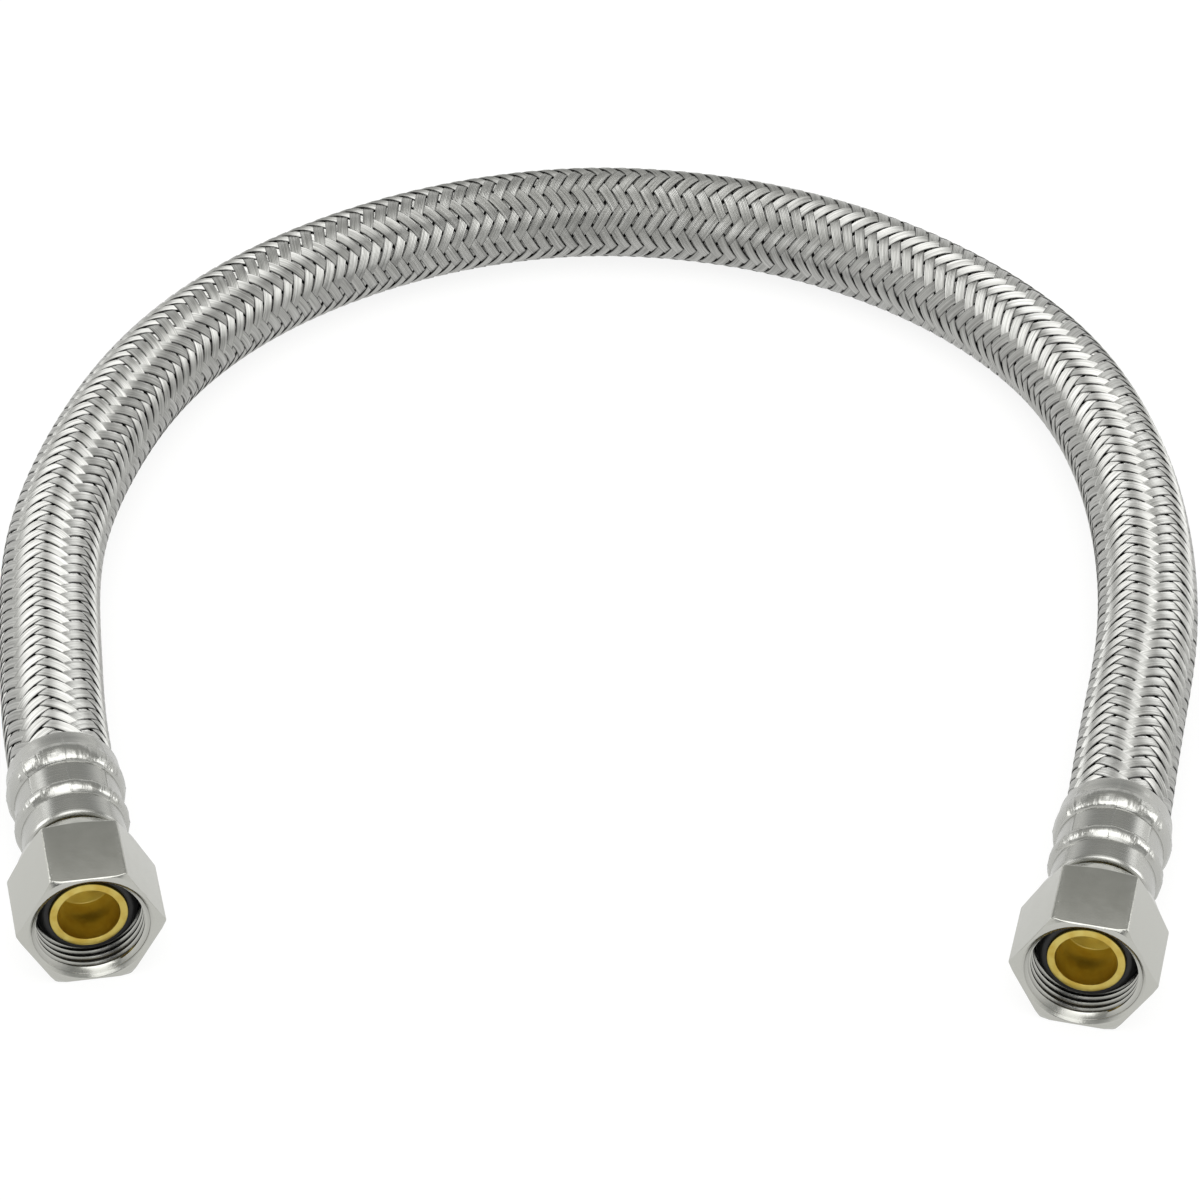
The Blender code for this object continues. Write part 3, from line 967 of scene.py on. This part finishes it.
def nut_outline(angle):
    """The nut's section at one angle: outside from the mouth to the back, then the bore."""
    reach = hexagon(angle)
    cone_start = min(reach - EDGE, CONE_R)
    cone_end = max(EDGE, (reach - CONE_R) * CONE_SLOPE)
    flat_end = FLATS_END - (reach - NUT_FLATS / 2) * BACK_CONE_SLOPE
    return softened(
        [
            (0.0, MOUTH_R, 0.06 * MM),
            (0.0, cone_start, 0.05 * MM),
            (cone_end, reach, 0.08 * MM),
            (flat_end, reach, 0.12 * MM),
            (SHOULDER_END, SHOULDER_R, 0.4 * MM),
            (NUT_LENGTH, BACK_R, 0.3 * MM),
            (NUT_LENGTH, BACK_HOLE_R, 0.15 * MM),
            (SOCKET_DEPTH, BACK_HOLE_R, 0.1 * MM),
            (SOCKET_DEPTH, THREAD_ROOT_R, 0.1 * MM),
            (MOUTH_CHAMFER, THREAD_ROOT_R, 0.03 * MM),
        ]
    )


def nut_body(name, matrix):
    """Skin the nut from its sections, which lie close together at its six corners."""
    angles = marked_turn(6, round_half, 7, 9)
    outlines = [nut_outline(a) for a in angles]
    rings = [
        [(-o[k][0], o[k][1] * math.cos(a), o[k][1] * math.sin(a)) for a, o in zip(angles, outlines)]
        for k in range(len(outlines[0]))
    ]
    return skin(name, rings, matrix, nickel)


# %% Internal thread
THREAD_PITCH = 25.4 * MM / 24
THREAD_START = 0.1 * MM
THREAD_END = 9.3 * MM
THREAD_STEPS = 72
START_TURN = 0.09
FADE_TURNS = 0.15
HALF_FOOT = 0.465 * THREAD_PITCH
HALF_CREST = 0.125 * THREAD_PITCH
FOOT_SUNK = 0.05 * MM
KEEL_SUNK = 0.1 * MM


def thread_ridge(name, matrix):
    """Wind the ridge between two thread grooves as one closed strip with tapered ends."""
    turns = (THREAD_END - THREAD_START) / THREAD_PITCH
    count = round(turns * THREAD_STEPS)
    foot_r = THREAD_ROOT_R + FOOT_SUNK
    bm = bmesh.new()
    sections = []
    for i in range(count + 1):
        turn = i / THREAD_STEPS
        middle = THREAD_START + turn * THREAD_PITCH
        fade = min(turn, turns - turn, FADE_TURNS) / FADE_TURNS
        crest_r = foot_r - fade * (foot_r - THREAD_CREST_R)
        section = [
            (middle - HALF_FOOT, foot_r),
            (middle - HALF_CREST, crest_r),
            (middle + HALF_CREST, crest_r),
            (middle + HALF_FOOT, foot_r),
            (middle, foot_r + KEEL_SUNK),
        ]
        angle = 2 * math.pi * (turn + START_TURN)
        loop = []
        for s, r in section:
            chamfer_r = MOUTH_R - (MOUTH_R - THREAD_ROOT_R) * s / MOUTH_CHAMFER + 0.02 * MM
            r = max(r, chamfer_r)
            s = max(s, 0.03 * MM)
            loop.append(bm.verts.new((-s, r * math.cos(angle), r * math.sin(angle))))
        sections.append(loop)
    for near, far in zip(sections, sections[1:]):
        for k in range(len(near)):
            bm.faces.new((near[k - 1], near[k], far[k], far[k - 1]))
    bm.faces.new(sections[0])
    bm.faces.new(sections[-1][::-1])
    bmesh.ops.recalc_face_normals(bm, faces=bm.faces)
    mesh = bpy.data.meshes.new(name)
    bm.to_mesh(mesh)
    bm.free()
    return set_in_place(name, mesh, matrix, nickel)


for end, matrix in mouths.items():
    body = nut_body(f"{end}_hex_nut", matrix)
    ridge = thread_ridge(f"{end}_nut_thread", matrix)
    for piece in (body, ridge):
        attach(piece, f"{end}_nut")
    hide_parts(f"{end}_nut")
    print(end, "nut:", len(body.data.polygons), "faces, thread:", len(ridge.data.polygons))

# %% [markdown]
# The insert is turned from brass bar: a nose that seals, a flange that the nut pulls on, a neck,
# and a barbed stem inside the hose. Turning leaves fine rings on every face, which catch the
# light in arcs. Only its nose and its bore show, so those get their chamfers and the drill's ledge.

# %% Turned brass
brass, tree, shader = principled("turned_brass", "#CDB65A", 1.0, 0.36)
shader.inputs["Anisotropic"].default_value = 0.75
way_round = add(tree, "ShaderNodeAttribute", attribute_name="way_round")
tree.links.new(way_round.outputs["Vector"], shader.inputs["Tangent"])
place, depth, radius = fitting_place(tree)
cut = add(tree, "ShaderNodeCombineXYZ", {"X": depth, "Y": radius})
TOOL_MARK = 0.12 * MM
marks = add(
    tree, "ShaderNodeTexNoise", {"Vector": cut.outputs[0], "Scale": 1 / TOOL_MARK, "Detail": 2.0}
)
mark_bump = add(
    tree,
    "ShaderNodeBump",
    {"Height": marks.outputs["Fac"], "Strength": 0.35, "Distance": 0.02 * MM},
)
stain = add(tree, "ShaderNodeTexNoise", {"Vector": place, "Scale": 1 / (1.8 * MM), "Detail": 4.0})
stain_colours = add(tree, "ShaderNodeValToRGB", {0: stain.outputs["Fac"]})
set_stops(stain_colours.color_ramp, [(0.35, "#C8AC50"), (0.65, "#DAC772")])

# Painted light: the drilled bore is painted a little paler than the turned faces, to stand in for
# light inside it
HOLE_EDGE_R = 3.9 * MM
HOLE_START, HOLE_FULL = -2.85 * MM, -3.3 * MM
in_hole = add(tree, "ShaderNodeMath", {0: radius, 1: HOLE_EDGE_R}, operation="LESS_THAN")
down_hole = add(
    tree,
    "ShaderNodeMapRange",
    {"Value": depth, "From Min": HOLE_START, "From Max": HOLE_FULL, "To Max": 0.32},
)
painted_bore_light = add(
    tree, "ShaderNodeMath", {0: in_hole.outputs[0], 1: down_hole.outputs[0]}, operation="MULTIPLY"
)
# The brass colour, with the painted light in the bore mixed in
brass_with_bore_light = add(
    tree,
    "ShaderNodeMix",
    {0: painted_bore_light.outputs[0], 6: stain_colours.outputs[0], 7: linear("#E6DC9C")},
    data_type="RGBA",
)
tree.links.new(brass_with_bore_light.outputs[2], shader.inputs["Base Color"])
tree.links.new(mark_bump.outputs[0], shader.inputs["Normal"])

# %% Inserts
NOSE_START = 2.8 * MM
NOSE_R = 4.8 * MM
FLANGE_START = 8.6 * MM
FLANGE_R = 6.44 * MM
FLANGE_END = 10.1 * MM
NECK_R = 4.6 * MM
BORE_R = 3.8 * MM
BORE_END = 9.6 * MM
WATERWAY_R = 1.45 * MM
STEM_START = HOSE_START - 0.3 * MM
BARB_R = 3.85 * MM
VALLEY_R = 3.45 * MM
BARB_PITCH = 3.2 * MM
BARBS = 4
BARB_START = 1.0 * MM


def insert_outline():
    """The insert's section: outside from the nose to the stem's end, then back up the bore."""
    corners = [
        (NOSE_START, NOSE_R, 0.16 * MM),
        (FLANGE_START, NOSE_R, 0.1 * MM),
        (FLANGE_START, FLANGE_R, 0.1 * MM),
        (FLANGE_END, FLANGE_R, 0.1 * MM),
        (FLANGE_END, NECK_R, 0.1 * MM),
        (STEM_START, NECK_R, 0.1 * MM),
        (STEM_START, VALLEY_R, 0.0),
    ]
    for i in range(BARBS):
        barb = STEM_START + BARB_START + i * BARB_PITCH
        corners += [(barb, VALLEY_R, 0.0), (barb, BARB_R, 0.08 * MM)]
    stem_end = STEM_START + BARB_START + BARBS * BARB_PITCH
    corners += [(stem_end, VALLEY_R, 0.1 * MM), (stem_end, WATERWAY_R, 0.1 * MM)]
    corners += [(BORE_END, WATERWAY_R, 0.12 * MM), (BORE_END, BORE_R, 0.25 * MM)]
    corners.append((NOSE_START, BORE_R, 0.12 * MM))
    return softened(corners)


# %% Gaskets
GASKET_FRONT = 3.2 * MM
GASKET_BACK = 8.3 * MM
GASKET_R = 6.34 * MM
GASKET_HOLE_R = NOSE_R + 0.02 * MM
CONE_FRONT_R = 5.5 * MM
CONE_BACK_R = 6.24 * MM
CONE_LENGTH = 0.9 * MM


def gasket_outline():
    """The gasket's section: a front face, a cone, a side and the nose's hole."""
    return softened(
        [
            (GASKET_FRONT, GASKET_HOLE_R, 0.1 * MM),
            (GASKET_FRONT, CONE_FRONT_R, 0.2 * MM),
            (GASKET_FRONT + CONE_LENGTH, CONE_BACK_R, 0.25 * MM),
            (GASKET_BACK, GASKET_R, 0.2 * MM),
            (GASKET_BACK, GASKET_HOLE_R, 0.1 * MM),
        ]
    )


for end, matrix in mouths.items():
    insert = turned(f"{end}_brass_insert", insert_outline(), matrix, brass)
    gasket = turned(f"{end}_cone_gasket", gasket_outline(), matrix, gasket_rubber)
    dressed = [(insert, "insert", "turned_brass"), (gasket, "gasket", "black_rubber")]
    for piece, node, slot in dressed:
        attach(piece, "hose")
        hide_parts(f"{end}_{node}")
print("insert:", len(insert.data.polygons), "faces, gasket:", len(gasket.data.polygons))

# %% [markdown]
# The ferrule is drawn from stainless sheet and crimped by eight jaws, which leave bands: a plain
# front, a narrow bulge, a groove, a wide bulge and a lip. Between neighbouring jaws the metal
# is pinched up into faint lines along the axis. The section follows the bands, and the lines are
# part of the shape too.

# %% Crimped sheet
sheet, tree, shader = principled("crimped_stainless_sheet", "#BEBEBA", 1.0, 0.25)
place, depth, radius = fitting_place(tree)

# Drawing left scuffs that run round the shell, 0.2 mm apart and some 7 mm long
SCUFF_SCALE = (5000.0, 150.0, 150.0)
drawn = add(tree, "ShaderNodeVectorMath", {0: place, 1: SCUFF_SCALE}, operation="MULTIPLY")
scuffs = add(tree, "ShaderNodeTexNoise", {"Vector": drawn.outputs[0], "Scale": 1.0, "Detail": 4.0})
scuff_roughness = add(
    tree, "ShaderNodeMapRange", {"Value": scuffs.outputs["Fac"], "To Min": 0.16, "To Max": 0.36}
)
scuff_bump = add(
    tree, "ShaderNodeBump", {"Height": scuffs.outputs["Fac"], "Strength": 0.2, "Distance": 0.03 * MM}
)
tree.links.new(scuff_roughness.outputs[0], shader.inputs["Roughness"])

# The jaws pinch the bulges into small creases along the axis, 4 mm long and under 1 mm apart
CREASE_SCALE = (280.0, 1300.0, 1300.0)
BULGE_START_R, BULGE_FULL_R = 6.72 * MM, 7.0 * MM
LIP_START, LIP_CLEAR = -27.6 * MM, -27.0 * MM
creased = add(tree, "ShaderNodeVectorMath", {0: place, 1: CREASE_SCALE}, operation="MULTIPLY")
creases = add(
    tree, "ShaderNodeTexNoise", {"Vector": creased.outputs[0], "Scale": 1.0, "Detail": 2.0}
)
is_wide = add(
    tree,
    "ShaderNodeMapRange",
    {"Value": radius, "From Min": BULGE_START_R, "From Max": BULGE_FULL_R},
)
off_lip = add(
    tree, "ShaderNodeMapRange", {"Value": depth, "From Min": LIP_START, "From Max": LIP_CLEAR}
)
on_bulge = add(
    tree, "ShaderNodeMath", {0: is_wide.outputs[0], 1: off_lip.outputs[0]}, operation="MULTIPLY"
)
crease_shape = add(
    tree,
    "ShaderNodeMath",
    {0: creases.outputs["Fac"], 1: on_bulge.outputs[0]},
    operation="MULTIPLY",
)
crease_bump = add(
    tree,
    "ShaderNodeBump",
    {
        "Height": crease_shape.outputs[0],
        "Strength": 0.5,
        "Distance": 0.25 * MM,
        "Normal": scuff_bump.outputs[0],
    },
)
tree.links.new(crease_bump.outputs[0], shader.inputs["Normal"])

# %% Ferrules
JAWS = 8
JAW_LINE_HALF = math.radians(1.5)
JAW_LINE_HEIGHT = 0.05 * MM
RIPPLE = 0.035 * MM
RIPPLED_R = 6.75 * MM
PLAIN_POINTS = 6
LIP_POINTS = 4


def ferrule_section():
    """The ferrule's section in mm: outside from the front to the lip, then back inside."""
    front = [(0.0, 5.2), (0.06, 5.9), (0.14, 6.22), (0.28, 6.4), (0.5, 6.48), (0.85, 6.5)]
    narrow_rise = [(3.98, 6.5), (4.08, 6.66), (4.25, 6.8), (4.55, 6.95), (4.9, 7.07)]
    narrow_fall = [(5.3, 7.14), (5.65, 7.13), (5.95, 7.03), (6.15, 6.85), (6.25, 6.7)]
    wide_rise = [(9.93, 6.7), (10.03, 6.86), (10.25, 7.03), (10.65, 7.21), (11.15, 7.34)]
    wide_fall = [(11.7, 7.42), (12.2, 7.41), (12.6, 7.36), (13.4, 7.24), (14.0, 7.18)]
    lip = [(15.2, 7.12), (15.42, 7.06), (15.5, 6.95)]
    outside = front + narrow_rise + narrow_fall + wide_rise + wide_fall + lip
    inside = [(15.5, 6.73), (13.4, 6.75), (12.6, 6.85), (11.4, 6.85), (10.3, 6.15)]
    inside += [(6.3, 6.15), (5.5, 5.95), (0.55, 5.95), (0.55, 4.9), (0.0, 4.9)]
    section = [(FERRULE_START + x * MM, r * MM) for x, r in outside + inside]
    return section, len(outside)


def ferrule_piece(name, matrix):
    """Skin the ferrule, with a faint line between neighbouring jaws and a ripple on its bulges."""
    angles = marked_turn(JAWS, JAW_LINE_HALF, 5, 13)
    outline, outside_count = ferrule_section()
    rings = []
    for k, (s, r) in enumerate(outline):
        ring = []
        for a in angles:
            from_line = (a + math.pi / JAWS) % (2 * math.pi / JAWS) - math.pi / JAWS
            near = max(0.0, 1 - abs(from_line) / JAW_LINE_HALF)
            uneven = math.sin(9 * a + 2.2 * math.sin(5 * a + 40 * s / MM))
            ripple = RIPPLE * uneven * (r > RIPPLED_R)
            between = PLAIN_POINTS < k < outside_count - LIP_POINTS
            raised = JAW_LINE_HEIGHT * near + ripple if between else 0.0
            ring.append((-s, (r + raised) * math.cos(a), (r + raised) * math.sin(a)))
        rings.append(ring)
    return skin(name, rings, matrix, sheet)


for end, matrix in mouths.items():
    shell = ferrule_piece(f"{end}_crimp_ferrule", matrix)
    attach(shell, "hose")
    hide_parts(f"{end}_ferrule")
print("ferrule:", len(shell.data.polygons), "faces")

# %% Put the hose on its body
for piece in braids:
    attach(piece, "hose")
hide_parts("braid")
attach(tube_skin, "hose")
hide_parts("inner_tube")

# %% Sizes
triangles = 0
for thing in scene.objects:
    if thing.type == "MESH" and not thing.hide_render:
        thing.data.calc_loop_triangles()
        triangles += len(thing.data.loop_triangles)
print("triangles shown:", triangles)
